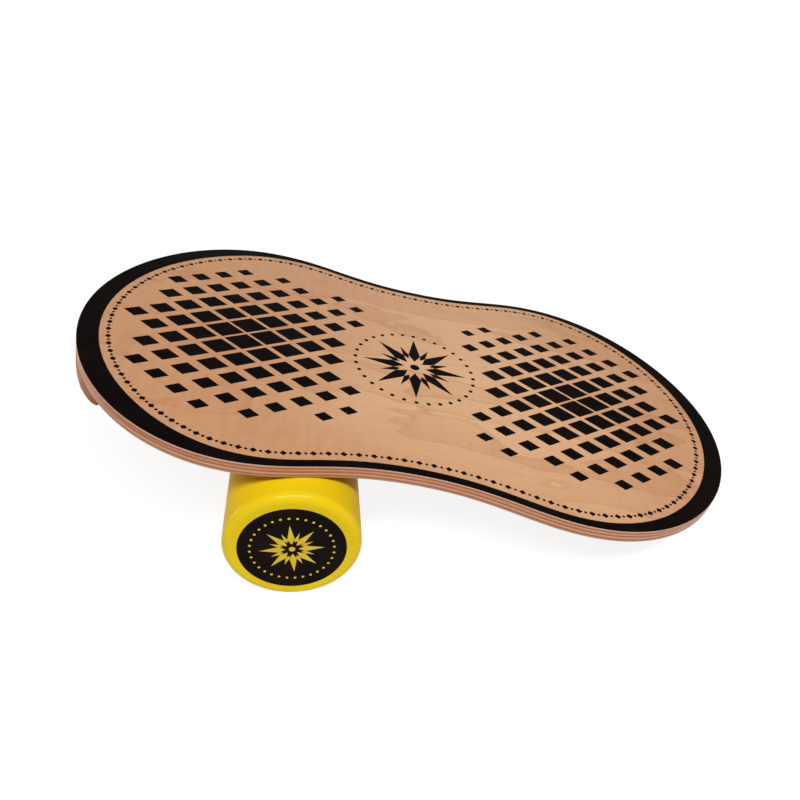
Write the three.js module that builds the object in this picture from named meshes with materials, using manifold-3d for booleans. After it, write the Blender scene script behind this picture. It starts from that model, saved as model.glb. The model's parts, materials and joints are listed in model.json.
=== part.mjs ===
// Rola bola: a peanut-shaped balance deck of birch plywood on a hollow plastic roller.
// Units are millimetres. The roller's axis is Y, the deck runs along X and Z is up.
// It stands as it is left on the floor: over the roller, with the deck's right end down.

import * as THREE from "three";
import { mergeVertices } from "three/addons/utils/BufferGeometryUtils.js";
import Module from "manifold-3d";

// Deck, seen from above
const deckLength = 780;
const deckWidth = 460; // across the lobes
const deckWaist = 400; // across the middle
const lobePlaceShare = 0.479; // of half the length, where the deck is widest
const waistHandleShare = 0.477; // of the run from the middle to the lobe
const lobeInnerHandleShare = 0.352;
const lobeOuterHandleShare = 0.565; // of the run from the lobe to the end
const endHandleShare = 0.51; // of half the width

// Deck, through its thickness
const deckThickness = 15;
const plyCount = 7;
const glueLine = 0.1;

// Stop blocks under the deck's ends
const stopLength = 60; // from the deck's end inwards
const stopDepth = 18;
const stopCorner = 24;

// Countersunk wood screws, driven through the stops from below
const screwLength = 28;
const screwDiameter = 4;
const screwHeadDiameter = 8.4;
const screwHeadHeight = 2.6;
const screwHeadEdge = 0.4;
const screwPointLength = 5;
const screwPointDiameter = 0.8;
const screwInset = 0.5; // of the head below the stop's face
const screwClearance = 0.3;
const driveWidth = 1.1; // of the cross recess in the head
const driveSpan = 4.6;
const driveDepth = 1.8;
const screwPlaceShares = [
  [0.3, -0.68],
  [0.56, -0.26],
  [0.56, 0.26],
  [0.3, 0.68],
]; // of the stop's length, and of half its chord

// Roller
const rollerDiameter = 140;
const rollerLength = 470;
const rollerRim = 9; // rounding between the side and the end
const rollerWall = 5;
const labelDiameter = 109;
const labelThickness = 0.4;

// Vent plug in the roller's rear end
const ventBore = 24;
const ventBoss = 50;
const ventBossHeight = 7;
const plugFlangeDiameter = 36;
const plugFlangeThickness = 2.5;
const plugShankLength = 13;
const plugHollowDiameter = 14;
const plugHollowDepth = 10;
const sealThickness = 1.2;
const plugClearance = 0.3;

// How the deck lies on the roller
const rollerPlace = -131; // from the deck's middle
const rollerYaw = 4.9; // degrees between the roller and square across the deck
const runningGap = 0.3;
const travelClearance = 2; // left between the roller and a stop at the end of its travel

// Fineness
const outlineSteps = 16;
const cornerSteps = 6;
const screwSides = 12;
const rollerSides = 72;
const rimSteps = 4;
const overrun = 1; // by which a cutter passes a face

const wasm = await Module();
wasm.setup();

// Materials

function finish(color, roughness, metalness = 0) {
  return new THREE.MeshStandardMaterial({ color, roughness, metalness });
}

const birchFace = finish(0xd9ac7d, 0.45);
const birchLongPly = finish(0xd8a781, 0.6);
const birchCrossPly = finish(0xb9785a, 0.65);
const stopWood = finish(0xb5836a, 0.6);
const yellowPlastic = finish(0xe6c313, 0.25);
const blackLabel = finish(0x17151a, 0.35);
const blackPlastic = finish(0x202022, 0.5);
const rubber = finish(0x2b2b2d, 0.85);
const zincSteel = finish(0xc9c4b4, 0.35, 0.9);

// Mesh helpers

function named(name, geometry, material) {
  const mesh = new THREE.Mesh(geometry, material);
  mesh.name = name;
  return mesh;
}

function toSolid(geometry) {
  const bare = new THREE.BufferGeometry();
  bare.setAttribute("position", geometry.getAttribute("position"));
  bare.setIndex(geometry.index);
  const merged = mergeVertices(bare, glueLine / 100);
  return new wasm.Manifold(
    new wasm.Mesh({
      numProp: 3,
      vertProperties: merged.getAttribute("position").array,
      triVerts: new Uint32Array(merged.index.array),
    }),
  );
}

function toGeometry(solid) {
  const mesh = solid.getMesh();
  const geometry = new THREE.BufferGeometry();
  geometry.setAttribute("position", new THREE.BufferAttribute(mesh.vertProperties, 3));
  geometry.setIndex(new THREE.BufferAttribute(mesh.triVerts, 1));
  return geometry;
}

// A plate with the given outline, from z = low up to z = high
function plate(shape, low, high) {
  const geometry = new THREE.ExtrudeGeometry(shape, { depth: high - low, bevelEnabled: false });
  return geometry.translate(0, 0, low);
}

// Radius of a many-sided hole whose flats still clear a round bar of the given radius
function holeRadius(barRadius, clearance, sides) {
  return (barRadius + clearance) / Math.cos(Math.PI / sides);
}

function circlePath(x, y, radius, sides) {
  const points = [];
  for (let i = 0; i < sides; i++) {
    const angle = (2 * Math.PI * i) / sides;
    points.push(new THREE.Vector2(x + radius * Math.cos(angle), y + radius * Math.sin(angle)));
  }
  return new THREE.Path(points);
}

// Deck outline: eight Bezier curves, mirrored about both middle lines.
// It runs anticlockwise from the middle of the near side.

function deckOutlinePoints() {
  const end = deckLength / 2;
  const lobe = deckWidth / 2;
  const waist = deckWaist / 2;
  const lobeX = end * lobePlaceShare;
  const waistX = lobeX * waistHandleShare;
  const lobeInX = lobeX * (1 - lobeInnerHandleShare);
  const lobeOutX = lobeX + (end - lobeX) * lobeOuterHandleShare;
  const endY = lobe * endHandleShare;
  const outline = new THREE.Shape();
  outline.moveTo(0, -waist);
  outline.bezierCurveTo(waistX, -waist, lobeInX, -lobe, lobeX, -lobe);
  outline.bezierCurveTo(lobeOutX, -lobe, end, -endY, end, 0);
  outline.bezierCurveTo(end, endY, lobeOutX, lobe, lobeX, lobe);
  outline.bezierCurveTo(lobeInX, lobe, waistX, waist, 0, waist);
  outline.bezierCurveTo(-waistX, waist, -lobeInX, lobe, -lobeX, lobe);
  outline.bezierCurveTo(-lobeOutX, lobe, -end, endY, -end, 0);
  outline.bezierCurveTo(-end, -endY, -lobeOutX, -lobe, -lobeX, -lobe);
  outline.bezierCurveTo(-lobeInX, -lobe, -waistX, -waist, 0, -waist);
  const points = outline.getPoints(outlineSteps);
  points.pop();
  return points;
}

const deckPoints = deckOutlinePoints();

// Stop outline for the right end: the deck's own outline beyond a straight chord,
// with the two sharp corners rounded. The left stop is the same, turned half round.

const stopChord = deckLength / 2 - stopLength;

function chordCrossing(inside, outside) {
  const share = (stopChord - inside.x) / (outside.x - inside.x);
  return inside.clone().lerp(outside, share);
}

function stopOutline() {
  const first = deckPoints.findIndex((point) => point.x > stopChord);
  const last = deckPoints.findLastIndex((point) => point.x > stopChord);
  const nearCorner = chordCrossing(deckPoints[first - 1], deckPoints[first]);
  const farCorner = chordCrossing(deckPoints[last + 1], deckPoints[last]);
  const rim = deckPoints
    .slice(first, last + 1)
    .filter((point) => point.distanceTo(nearCorner) > stopCorner)
    .filter((point) => point.distanceTo(farCorner) > stopCorner);
  const nearChord = new THREE.Vector2(stopChord, nearCorner.y + stopCorner);
  const farChord = new THREE.Vector2(stopChord, farCorner.y - stopCorner);
  const nearRound = new THREE.QuadraticBezierCurve(nearChord, nearCorner, rim[0]);
  const farRound = new THREE.QuadraticBezierCurve(rim[rim.length - 1], farCorner, farChord);
  const points = [
    ...nearRound.getPoints(cornerSteps),
    ...rim.slice(1, -1),
    ...farRound.getPoints(cornerSteps),
  ];
  return { points, halfChord: farChord.y };
}

const stop = stopOutline();

// Screws: places in the right stop, and their profile from the head up

const screwPlaces = screwPlaceShares.map(
  ([along, across]) =>
    new THREE.Vector2(stopChord + stopLength * along, stop.halfChord * across),
);
const screwBottom = -glueLine - stopDepth + screwInset;
const screwTip = screwBottom + screwLength;

function screwProfile(clearance) {
  const head = screwHeadDiameter / 2 + clearance;
  const shank = screwDiameter / 2 + clearance;
  const point = screwPointDiameter / 2 + clearance;
  return [
    new THREE.Vector2(0, 0),
    new THREE.Vector2(head, 0),
    new THREE.Vector2(head, screwHeadEdge),
    new THREE.Vector2(shank, screwHeadHeight),
    new THREE.Vector2(shank, screwLength - screwPointLength),
    new THREE.Vector2(point, screwLength),
    new THREE.Vector2(0, screwLength),
  ];
}

function turnedUp(profile, sides) {
  return new THREE.LatheGeometry(profile, sides).rotateX(Math.PI / 2);
}

function screwGeometry() {
  let solid = toSolid(turnedUp(screwProfile(0), screwSides));
  for (const [spanX, spanY] of [[driveSpan, driveWidth], [driveWidth, driveSpan]]) {
    const slot = new THREE.BoxGeometry(spanX, spanY, driveDepth + overrun);
    slot.translate(0, 0, (driveDepth - overrun) / 2);
    solid = solid.subtract(toSolid(slot));
  }
  return toGeometry(solid);
}

// The hole for one screw in a stop: the screw's own profile with clearance, open below
function screwCutter() {
  const sides = screwSides;
  const flats = 1 / Math.cos(Math.PI / sides);
  const profile = screwProfile(screwClearance);
  profile.unshift(new THREE.Vector2(0, -screwInset - overrun));
  profile[1] = new THREE.Vector2(profile[2].x, -screwInset - overrun);
  for (const point of profile) point.x *= flats;
  return turnedUp(profile, sides);
}

function stopGeometry() {
  const block = plate(new THREE.Shape(stop.points), -glueLine - stopDepth, -glueLine);
  let solid = toSolid(block);
  for (const place of screwPlaces) {
    const cutter = screwCutter().translate(place.x, place.y, screwBottom);
    solid = solid.subtract(toSolid(cutter));
  }
  return toGeometry(solid);
}

// Deck: plies with z = 0 at the underside. Those that the screws reach are drilled.

function plyShape(isDrilled) {
  const shape = new THREE.Shape(deckPoints);
  if (isDrilled) {
    const radius = holeRadius(screwDiameter / 2, screwClearance, screwSides);
    for (const side of [1, -1]) {
      for (const place of screwPlaces) {
        shape.holes.push(circlePath(side * place.x, side * place.y, radius, screwSides));
      }
    }
  }
  return shape;
}

const deck = new THREE.Group();
const plyThickness = (deckThickness - (plyCount - 1) * glueLine) / plyCount;

for (let i = 0; i < plyCount; i++) {
  const high = deckThickness - i * (plyThickness + glueLine);
  const low = high - plyThickness;
  const isFace = i === 0 || i === plyCount - 1;
  const isCross = i % 2 === 1;
  let name = `deck_ply_${i + 1}`;
  if (i === 0) name = "deck_face_veneer_top";
  if (i === plyCount - 1) name = "deck_face_veneer_bottom";
  const material = isFace ? birchFace : isCross ? birchCrossPly : birchLongPly;
  deck.add(named(name, plate(plyShape(low < screwTip), low, high), material));
}

for (const [side, sideName] of [[1, "right"], [-1, "left"]]) {
  const end = new THREE.Group();
  end.rotation.z = side === 1 ? 0 : Math.PI;
  end.add(named(`stop_block_${sideName}`, stopGeometry(), stopWood));
  screwPlaces.forEach((place, i) => {
    const screw = named(`stop_screw_${sideName}_${i + 1}`, screwGeometry(), zincSteel);
    screw.position.set(place.x, place.y, screwBottom);
    end.add(screw);
  });
  deck.add(end);
}

// Roller: a hollow moulding turned about Y, with its vent in the rear (+Y) end

const rollerRadius = rollerDiameter / 2;
const rollerEnd = rollerLength / 2;
const sealSeat = rollerEnd - plugFlangeThickness - sealThickness;
const flangePocket = plugFlangeDiameter / 2 + plugClearance;

function quarterRound(centreRadius, centreY, radius, startAngle, profile) {
  for (let i = 0; i <= rimSteps; i++) {
    const angle = startAngle + ((Math.PI / 2) * i) / rimSteps;
    const r = centreRadius + radius * Math.cos(angle);
    profile.push(new THREE.Vector2(r, centreY + radius * Math.sin(angle)));
  }
}

function rollerShellGeometry() {
  const rimCentre = rollerRadius - rollerRim;
  const insideRim = rollerRim - rollerWall;
  const insideEnd = rollerEnd - rollerWall;
  const bossEnd = insideEnd - ventBossHeight;
  const profile = [new THREE.Vector2(0, -rollerEnd)];
  quarterRound(rimCentre, rollerRim - rollerEnd, rollerRim, -Math.PI / 2, profile);
  quarterRound(rimCentre, rollerEnd - rollerRim, rollerRim, 0, profile);
  profile.push(
    new THREE.Vector2(flangePocket, rollerEnd),
    new THREE.Vector2(flangePocket, sealSeat),
    new THREE.Vector2(ventBore / 2, sealSeat),
    new THREE.Vector2(ventBore / 2, bossEnd),
    new THREE.Vector2(ventBoss / 2, bossEnd),
    new THREE.Vector2(ventBoss / 2, insideEnd),
  );
  const inner = [];
  quarterRound(rimCentre, rollerRim - rollerEnd, insideRim, -Math.PI / 2, inner);
  quarterRound(rimCentre, rollerEnd - rollerRim, insideRim, 0, inner);
  profile.push(...inner.reverse(), new THREE.Vector2(0, -insideEnd));
  return new THREE.LatheGeometry(profile, rollerSides);
}

function discGeometry(radius, low, high) {
  const profile = [
    new THREE.Vector2(0, low),
    new THREE.Vector2(radius, low),
    new THREE.Vector2(radius, high),
    new THREE.Vector2(0, high),
  ];
  return new THREE.LatheGeometry(profile, rollerSides);
}

function sealGeometry() {
  const inner = ventBore / 2;
  const outer = plugFlangeDiameter / 2;
  const profile = [
    new THREE.Vector2(inner, sealSeat),
    new THREE.Vector2(outer, sealSeat),
    new THREE.Vector2(outer, sealSeat + sealThickness),
    new THREE.Vector2(inner, sealSeat + sealThickness),
    new THREE.Vector2(inner, sealSeat),
  ];
  return new THREE.LatheGeometry(profile, rollerSides);
}

function plugGeometry() {
  const flange = plugFlangeDiameter / 2;
  const shank = ventBore / 2 - plugClearance;
  const hollow = plugHollowDiameter / 2;
  const flangeLow = sealSeat + sealThickness;
  const shankEnd = flangeLow - plugShankLength;
  const profile = [
    new THREE.Vector2(0, shankEnd + plugHollowDepth),
    new THREE.Vector2(hollow, shankEnd + plugHollowDepth),
    new THREE.Vector2(hollow, shankEnd),
    new THREE.Vector2(shank, shankEnd),
    new THREE.Vector2(shank, flangeLow),
    new THREE.Vector2(flange, flangeLow),
    new THREE.Vector2(flange, rollerEnd),
    new THREE.Vector2(0, rollerEnd),
  ];
  return new THREE.LatheGeometry(profile, rollerSides);
}

const roller = new THREE.Group();
roller.add(
  named("roller_shell", rollerShellGeometry(), yellowPlastic),
  named(
    "roller_label_front",
    discGeometry(labelDiameter / 2, -rollerEnd - labelThickness, -rollerEnd),
    blackLabel,
  ),
  named(
    "roller_label_rear",
    discGeometry(labelDiameter / 2, rollerEnd, rollerEnd + labelThickness),
    blackLabel,
  ),
  named("vent_plug", plugGeometry(), blackPlastic),
  named("vent_plug_seal", sealGeometry(), rubber),
);

// Rest: the deck is turned in its own plane by the roller's yaw, and leans so that
// the right stop's lowest corner and the roller both stand on the floor.

const yaw = THREE.MathUtils.degToRad(rollerYaw);
const axisDepth = rollerRadius + runningGap; // of the roller's axis below the deck
const footDepth = stopDepth + glueLine;
const reach = (point) => point.x * Math.cos(yaw) + point.y * Math.sin(yaw);
const footPlace = Math.max(...stop.points.map(reach));
const span = footPlace - rollerPlace;
const drop = axisDepth - footDepth;
const lean = Math.atan2(drop, span) + Math.asin(rollerRadius / Math.hypot(span, drop));

const leaning = new THREE.Group();
leaning.rotation.y = lean;
leaning.position.x = axisDepth * Math.sin(lean) - rollerPlace * Math.cos(lean);
leaning.position.z = rollerRadius + axisDepth * Math.cos(lean) + rollerPlace * Math.sin(lean);
deck.rotation.z = -yaw;
leaning.add(deck);
roller.position.z = rollerRadius;

const rolaBola = new THREE.Group();
rolaBola.add(leaning, roller);

// Origin: on the floor, under the middle of the whole object's box
rolaBola.updateMatrixWorld(true);
const box = new THREE.Box3().setFromObject(rolaBola, true);
const middle = box.getCenter(new THREE.Vector3());
for (const group of [leaning, roller]) {
  group.position.x -= middle.x;
  group.position.y -= middle.y;
}
rolaBola.updateMatrixWorld(true);

// Joint: the roller rolls along the deck's underside until it meets a stop

const stopReach = stopChord * Math.cos(yaw) - stop.halfChord * Math.sin(yaw);
const besideStop = Math.sqrt(rollerRadius ** 2 - drop ** 2);
const travelEnd = stopReach - besideStop - travelClearance;

rolaBola.userData = {
  lean: THREE.MathUtils.radToDeg(lean),
  rollerAxis: { point: roller.position.toArray(), direction: [0, 1, 0] },
  rollerTravel: {
    direction: [Math.cos(lean), 0, -Math.sin(lean)],
    range: [-travelEnd - rollerPlace, travelEnd - rollerPlace],
    turnPerMillimetre: 1 / rollerRadius,
  },
  deckTop: {
    point: deck.localToWorld(new THREE.Vector3(0, 0, deckThickness)).toArray(),
    normal: [Math.sin(lean), 0, Math.cos(lean)],
  },
  stopFaces: [1, -1].map((side) =>
    deck
      .localToWorld(new THREE.Vector3(side * (stopChord + stopLength / 2), 0, -footDepth))
      .toArray(),
  ),
};

export default rolaBola;
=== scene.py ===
# Rola bola: a balance deck of lacquered birch plywood that leans over a yellow plastic roller.
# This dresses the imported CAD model. Sizes are in millimetres and mm turns them to metres.
# Deck pieces are made lying flat, with z = 0 at the deck's underside, then set on the roller.

import json
import math

import bmesh
import bpy
from mathutils import Matrix, Vector
from mathutils.geometry import interpolate_bezier


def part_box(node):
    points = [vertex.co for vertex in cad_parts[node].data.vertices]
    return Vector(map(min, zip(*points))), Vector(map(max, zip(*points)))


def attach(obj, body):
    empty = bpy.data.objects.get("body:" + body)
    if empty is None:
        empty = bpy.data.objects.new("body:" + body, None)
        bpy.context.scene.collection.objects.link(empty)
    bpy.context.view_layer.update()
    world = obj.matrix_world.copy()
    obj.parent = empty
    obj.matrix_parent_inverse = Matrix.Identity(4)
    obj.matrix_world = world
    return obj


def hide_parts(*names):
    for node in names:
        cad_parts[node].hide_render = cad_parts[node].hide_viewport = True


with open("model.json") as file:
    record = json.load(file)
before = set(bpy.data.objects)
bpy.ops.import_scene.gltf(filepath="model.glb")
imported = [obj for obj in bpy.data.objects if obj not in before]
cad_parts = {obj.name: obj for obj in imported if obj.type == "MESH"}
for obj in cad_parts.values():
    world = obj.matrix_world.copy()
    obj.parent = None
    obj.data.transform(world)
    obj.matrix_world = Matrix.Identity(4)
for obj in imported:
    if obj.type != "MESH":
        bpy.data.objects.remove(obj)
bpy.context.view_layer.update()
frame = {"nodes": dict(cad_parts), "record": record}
mm = 0.001
sharpAngle = 35  # degrees between two faces, beyond which their edge stays sharp
weldGap = 0.002  # points nearer to each other than this become one

# The deck's, the stops' and the roller's sizes repeat the CAD model's; the rest is what only the
# eye needs
deck = {
    "length": 780,
    "width": 460,
    "waist": 400,
    "lobePlace": 0.479,  # of half the length, where the deck is widest
    "waistHandle": 0.477,  # of the run from the middle to the lobe
    "lobeInnerHandle": 0.352,
    "lobeOuterHandle": 0.565,  # of the run from the lobe to the end
    "endHandle": 0.51,  # of half the width
    "outlineSteps": 40,  # on each of the eight curves
    "thickness": 15,
    "plies": 7,
    "glueLine": 0.1,
    "edgeRound": 0.9,  # sanded edge of the two face veneers
    "edgeRoundSteps": 4,
    "flatRim": 0.6,  # flat strip inside the rounding, which keeps its shading off the face
    "inkedSlope": 0.3,  # the print covers the rounding down to where its upward share is this
    "wallSlope": 0.5,  # a face whose normal rises less than this is a wall
}


# Places of the deck and the roller in the shared frame

def findDeckPlace():
    mounts = {mount["name"]: mount for mount in frame["record"]["mounts"]}
    top, rightFoot, leftFoot = [
        Vector(mounts[name]["pos_m"]) for name in ("deck_top", "stop_face_right", "stop_face_left")]
    up = Vector(mounts["deck_top"]["axis"]).normalized()
    along = (rightFoot - leftFoot).normalized()
    place = Matrix((along, up.cross(along), up)).transposed().to_4x4()
    place.translation = top - deck["thickness"] * mm * up
    return place


def findRollerPlace(facing):
    # Local z runs along the roller's axis: facing is 1 towards the rear end, -1 towards the front
    low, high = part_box("roller_shell")
    place = Matrix(((-facing, 0, 0), (0, 0, facing), (0, 1, 0))).to_4x4()
    place.translation = (low + high) / 2
    return place


deckPlace = findDeckPlace()
rearPlace = findRollerPlace(1)
frontPlace = findRollerPlace(-1)


# Nodes and colours

def linear(hexColour):
    channels = []
    for i in (1, 3, 5):
        value = int(hexColour[i:i + 2], 16) / 255
        channels.append(value / 12.92 if value <= 0.04045 else ((value + 0.055) / 1.055) ** 2.4)
    return (*channels, 1.0)


def metres(sizes):
    return [size * mm for size in sizes]


def addNode(tree, kind, inputs=(), **settings):
    # Settings go first, because they decide which sockets are live. Inputs go by name, or in the
    # node's own order. A node given as an input stands for its first live output, and a socket
    # that joins several things takes a list of them
    node = tree.nodes.new(kind)
    for name, value in settings.items():
        setattr(node, name, value)
    for key, value in inputs.items() if isinstance(inputs, dict) else enumerate(inputs):
        socket = node.inputs[key] if isinstance(key, int) else next(
            live for live in node.inputs if live.enabled and live.name == key)
        for source in value if socket.is_multi_input else [value]:
            if isinstance(source, bpy.types.Node):
                source = next(output for output in source.outputs if output.enabled)
            if isinstance(source, bpy.types.NodeSocket):
                tree.links.new(source, socket)
            else:
                socket.default_value = source
    return node


def clearTree(owner):
    owner.use_nodes = True
    owner.node_tree.nodes.clear()
    return owner.node_tree


def startMaterial(name, place):
    # Its patterns lie on object coordinates, turned back to a piece that lies flat and centred
    material = bpy.data.materials.new(name)
    tree = clearTree(material)
    at = addNode(tree, "ShaderNodeMapping", {
        "Vector": addNode(tree, "ShaderNodeTexCoord").outputs["Object"],
        "Location": place.to_translation(),
        "Rotation": place.to_euler(),
    }, vector_type="TEXTURE")
    return material, tree, at


noiseSpan = (0.3, 0.7)  # nearly all of a noise lies between these
smooth = {"interpolation_type": "SMOOTHSTEP"}


def grain(tree, at, size, detail=2.0, roughness=0.5, distortion=0.0):
    # Noise whose lumps are about the given size along, across and up the piece
    stretched = addNode(tree, "ShaderNodeVectorMath", [at, metres(size)], operation="DIVIDE")
    return addNode(tree, "ShaderNodeTexNoise", {
        "Vector": stretched,
        "Scale": 1.0,
        "Detail": detail,
        "Roughness": roughness,
        "Distortion": distortion,
    })


def layOver(tree, under, over, pattern, span=noiseSpan, shares=(0, 1), within=None):
    # The upper colour's share runs between two values while the pattern runs over a span. It may
    # be multiplied by another pattern
    under, over = [linear(colour) if isinstance(colour, str) else colour
                   for colour in (under, over)]
    share = addNode(tree, "ShaderNodeMapRange", [pattern, *span, *shares], **smooth)
    if within:
        share = addNode(tree, "ShaderNodeMath", [share, within], operation="MULTIPLY")
    return addNode(tree, "ShaderNodeMix", {"Factor": share, "A": under, "B": over},
                   data_type="RGBA")


def endMaterial(tree, look, colour, sheen, relief):
    # Roughness follows the sheen pattern, and the bump follows the relief pattern
    span = look.get("sheenSpan", noiseSpan)
    values = {
        **look["shader"],
        "Base Color": colour,
        "Roughness": addNode(tree, "ShaderNodeMapRange", [
            sheen, *span, *look["roughness"]], **smooth),
    }
    if "bump" in look:
        depth, strength = look["bump"]
        values["Normal"] = addNode(tree, "ShaderNodeBump", {
            "Height": relief,
            "Distance": depth * mm,
            "Strength": strength,
        })
    shader = addNode(tree, "ShaderNodeBsdfPrincipled", values)
    addNode(tree, "ShaderNodeOutputMaterial", [shader])


# Materials. A pattern's size is in millimetres, along, across and up. A layer is a span of its
# pattern and its colour's share at the two ends of the span. A bump is its depth and strength

# Rotary-cut birch veneer, sanded and sprayed with satin lacquer: slow lengthwise waves, a fine
# fibre, a few brown flecks and a soft even sheen. A paler ragged pool is painted light and sheen
faceLook = {
    "shader": {"IOR": 1.5, "Specular IOR Level": 0.1},
    "sapwood": "#d5a982",
    "warm": "#bf8d67",
    "pale": "#d7ad82",
    "ring": "#a5683f",
    "fleck": "#86543a",
    "knot": "#7c4a2c",
    "sapwoodPlace": (95, -30, 15),  # centre of the painted pool of light and sheen, where the ground is palest
    "sapwoodReach": (265, 270, 300),
    "sapwoodFade": (0.1, 1.15),  # of the reach
    "sapwoodWander": (-0.22, 0.22),
    "ringDrift": 118,  # deck width for one more ring
    "ringsAcross": 4.2,
    "ringShape": ((0, 0.5), (1, 0), (0.05, 1.0), (0.16, 0.45), (0.45, 0.12)),  # its two ends first
    "ringLayer": (noiseSpan, (0.24, 0.46)),
    "fibreLayer": ((0.35, 0.75), (0, 0.17)),
    "curlLayer": (noiseSpan, (0, 0.12)),
    "fleckLayer": ((0.7, 0.78), (0, 0.5)),
    "knotPlace": (107, 12, 15),
    "knotReach": (1, 5),
    "knotShares": (0.75, 0),
    "patch": {"size": (230, 110, 200), "detail": 3.0, "roughness": 0.55},
    "figure": {"size": (190, 58, 240), "detail": 2.5, "distortion": 0.35},  # growth rings
    "fibre": {"size": (26, 1.1, 1.1), "detail": 3.0, "roughness": 0.6},  # coarse enough to show
    "curl": {"size": (7, 46, 46), "detail": 1.0},  # faint curly ripple across the grain; its pale stripes are a painted sheen
    "flecks": {"size": (6.5, 1.1, 2), "detail": 1.0},
    "roughness": (0.36, 0.48),
    "bump": (0.03, 0.5),
}

# The underside is a browner sheet of lower grade, with the same painted pool of light and sheen
backLook = {
    **faceLook,
    "sapwood": "#ca8950",
    "warm": "#b06735",
    "pale": "#cf9a69",
    "ring": "#8f5430",
    "fleck": "#6f4229",
    "knotPlace": (-64, 88, 0),
    "knotReach": (1.6, 8),
}


def makeBirchFace(name, look):
    material, tree, at = startMaterial(name, deckPlace)
    patches, figure, fibres, curls, flecks = [
        grain(tree, at, **look[pattern])
        for pattern in ("patch", "figure", "fibre", "curl", "flecks")]

    across = addNode(tree, "ShaderNodeSeparateXYZ", [at]).outputs["Y"]
    drift = addNode(tree, "ShaderNodeMath", [across, look["ringDrift"] * mm], operation="DIVIDE")
    rings = addNode(tree, "ShaderNodeMath", [figure, look["ringsAcross"], drift],
                    operation="MULTIPLY_ADD")
    phase = addNode(tree, "ShaderNodeMath", [rings], operation="FRACT")
    ringRamp = addNode(tree, "ShaderNodeValToRGB", [phase])
    ramp = ringRamp.color_ramp.elements
    for position, level in look["ringShape"]:
        element = ramp[position] if position in (0, 1) else ramp.new(position)
        element.color = (level, level, level, 1)

    # The ground turns paler towards one place on the deck: a painted pool of light and sheen
    fromSheenPool = addNode(tree, "ShaderNodeVectorMath", [at, metres(look["sapwoodPlace"])],
                          operation="SUBTRACT")
    inReach = addNode(tree, "ShaderNodeVectorMath", [fromSheenPool, metres(look["sapwoodReach"])],
                      operation="DIVIDE")
    reach = addNode(tree, "ShaderNodeVectorMath", [inReach], operation="LENGTH")
    wander = addNode(tree, "ShaderNodeMapRange", [
        figure, *noiseSpan, *look["sapwoodWander"]], **smooth)
    ragged = addNode(tree, "ShaderNodeMath", [reach, wander], operation="ADD")
    ground = layOver(tree, look["warm"], look["sapwood"], ragged, look["sapwoodFade"], (1, 0))
    ringed = layOver(tree, ground, look["ring"], patches, *look["ringLayer"], within=ringRamp)
    fibred = layOver(tree, ringed, look["ring"], fibres, *look["fibreLayer"])
    # Pale stripes across the grain: the curly figure's shimmer, painted into the colour as sheen
    curled = layOver(tree, fibred, look["pale"], curls, *look["curlLayer"])
    flecked = layOver(tree, curled, look["fleck"], flecks, *look["fleckLayer"])
    fromKnot = addNode(tree, "ShaderNodeVectorMath", [at, metres(look["knotPlace"])],
                       operation="DISTANCE")
    knotted = layOver(tree, flecked, look["knot"], fromKnot, metres(look["knotReach"]),
                      look["knotShares"])
    endMaterial(tree, look, knotted, fibres, fibres)
    return material


# Sawn and sanded plywood edge: pale where a ply shows its side grain, brown and porous where it
# shows its end grain. The attribute endGrain says how much of each
edgeLook = {
    "shader": {"IOR": 1.5, "Specular IOR Level": 0.4},
    "side": "#cd9a76",
    "end": "#a16043",
    "dark": "#80492f",
    "topArrisSheen": "#c0a797",  # paler and greyer: a painted sheen where the rounded top edge catches the light
    "lowArrisShade": "#917f6b",  # darker and greyer: painted shade along the bottom of the edge
    "topSheenHeights": (12.4, 14.2),  # where it starts and is full
    "lowShadeHeights": (1.0, 3.6),  # where it is full and ends
    "arrisShare": 0.6,
    "plyTones": (0, 0, 0.35, 0, 0, 0, 0),  # from the top, added to each ply's share of end grain
    "toneWander": (-0.14, 0.14),
    "endGrainSpan": (0.1, 0.9),
    "fibreLayer": ((0.4, 0.75), (0, 0.4)),
    "poreLayer": ((0.55, 0.7), (0, 0.6)),
    "fibre": {"size": (9, 9, 0.35), "detail": 3.0, "roughness": 0.6},
    "pores": {"size": (0.7, 0.7, 0.5)},  # coarse enough to show
    "patch": {"size": (70, 70, 6)},
    "roughness": (0.4, 0.54),
    "bump": (0.06, 0.6),
}


def makePlyEdge(name, look):
    material, tree, at = startMaterial(name, deckPlace)
    fibres, pores, patches = [
        grain(tree, at, **look[pattern]) for pattern in ("fibre", "pores", "patch")]
    turned = addNode(tree, "ShaderNodeAttribute", attribute_name="endGrain").outputs["Fac"]
    wander = addNode(tree, "ShaderNodeMapRange", [
        patches, *noiseSpan, *look["toneWander"]], **smooth)
    wandering = addNode(tree, "ShaderNodeMath", [turned, wander], operation="ADD")
    endShare = addNode(tree, "ShaderNodeMapRange", [
        wandering, *look["endGrainSpan"], 0.0, 1.0], **smooth)
    ground = addNode(tree, "ShaderNodeMix", {
        "Factor": endShare,
        "A": linear(look["side"]),
        "B": linear(look["end"]),
    }, data_type="RGBA")
    streaked = layOver(tree, ground, look["end"], fibres, *look["fibreLayer"])
    pored = layOver(tree, streaked, look["dark"], pores, *look["poreLayer"], within=endShare)
    # The top of the edge is painted paler as sheen, and its bottom darker as shade
    height = addNode(tree, "ShaderNodeSeparateXYZ", [at]).outputs["Z"]
    share = look["arrisShare"]
    withTopSheen = layOver(tree, pored, look["topArrisSheen"], height,
                        metres(look["topSheenHeights"]), (0, share))
    withSheenAndShade = layOver(tree, withTopSheen, look["lowArrisShade"], height,
                         metres(look["lowShadeHeights"]), (share, 0))
    endMaterial(tree, look, withSheenAndShade, fibres, fibres)
    return material


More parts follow.
